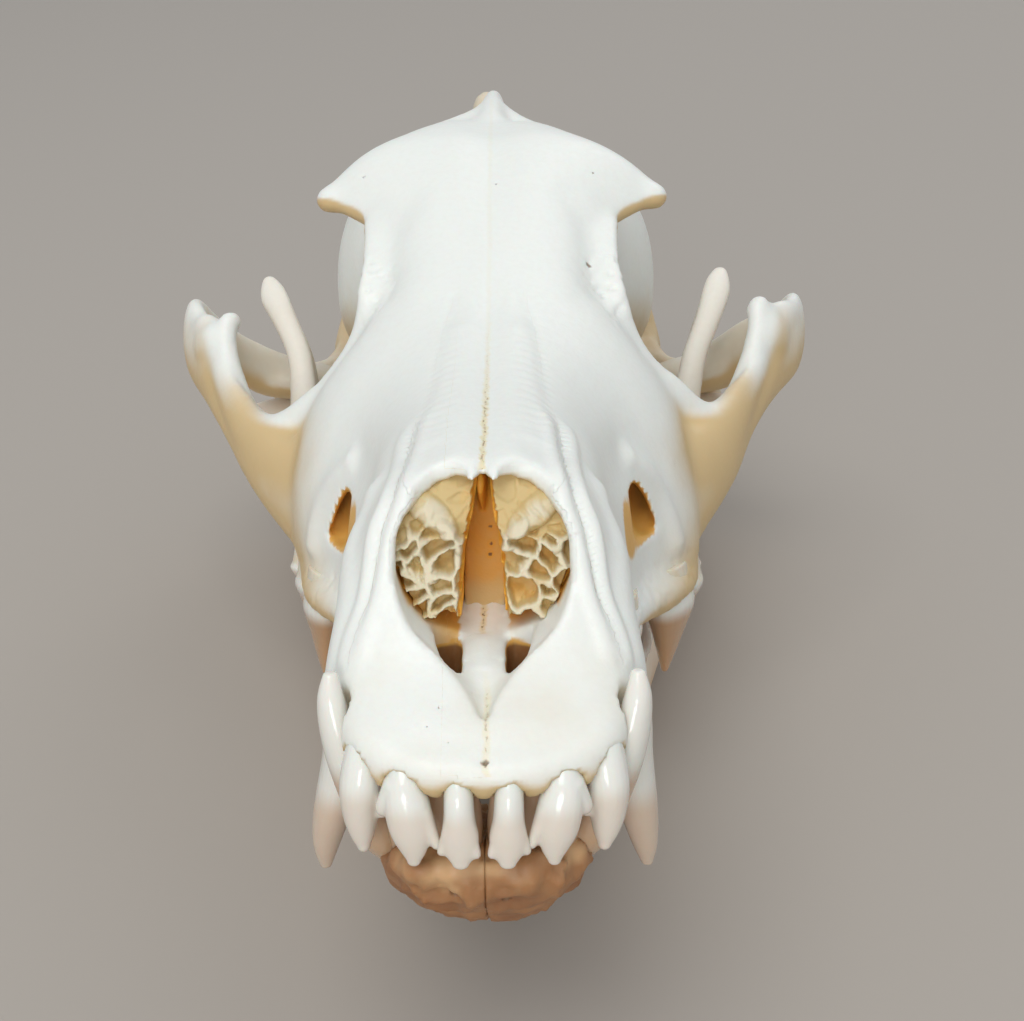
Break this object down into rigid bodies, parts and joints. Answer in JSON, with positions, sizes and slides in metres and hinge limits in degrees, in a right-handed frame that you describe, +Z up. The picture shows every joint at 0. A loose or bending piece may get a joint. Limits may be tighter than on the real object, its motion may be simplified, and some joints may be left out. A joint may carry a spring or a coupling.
{
  "type": "coyote skull",
  "caption": "Life-size coyote skull with shut jaws: cranium with upper teeth, two lower jaw halves with lower teeth, scrolls and septum in the nose.",
  "frame": {"origin": "centre of the bounding box at the level of the table that the lower jaw rests on", "axes": "+Z up, -Y towards the incisors, +X to the animal's left"},
  "size_m": [0.0992, 0.2044, 0.0808],
  "materials": {
    "bone": "cleaned and bleached bone, satin, ivory white",
    "jaw_bone": "cleaned bone, satin, warmer and rougher than the cranium",
    "inner_bone": "thin bone in the nose, matte, honey brown in its depths",
    "tooth": "enamel, glossy, ivory with warmer necks"
  },
  "bodies": {
    "root": {"cranium": "bone", "mandible_left": "jaw_bone", "mandible_right": "jaw_bone", "turbinates_left": "inner_bone", "turbinates_right": "inner_bone", "nasal_septum": "inner_bone"}
  },
  "joints": []
}
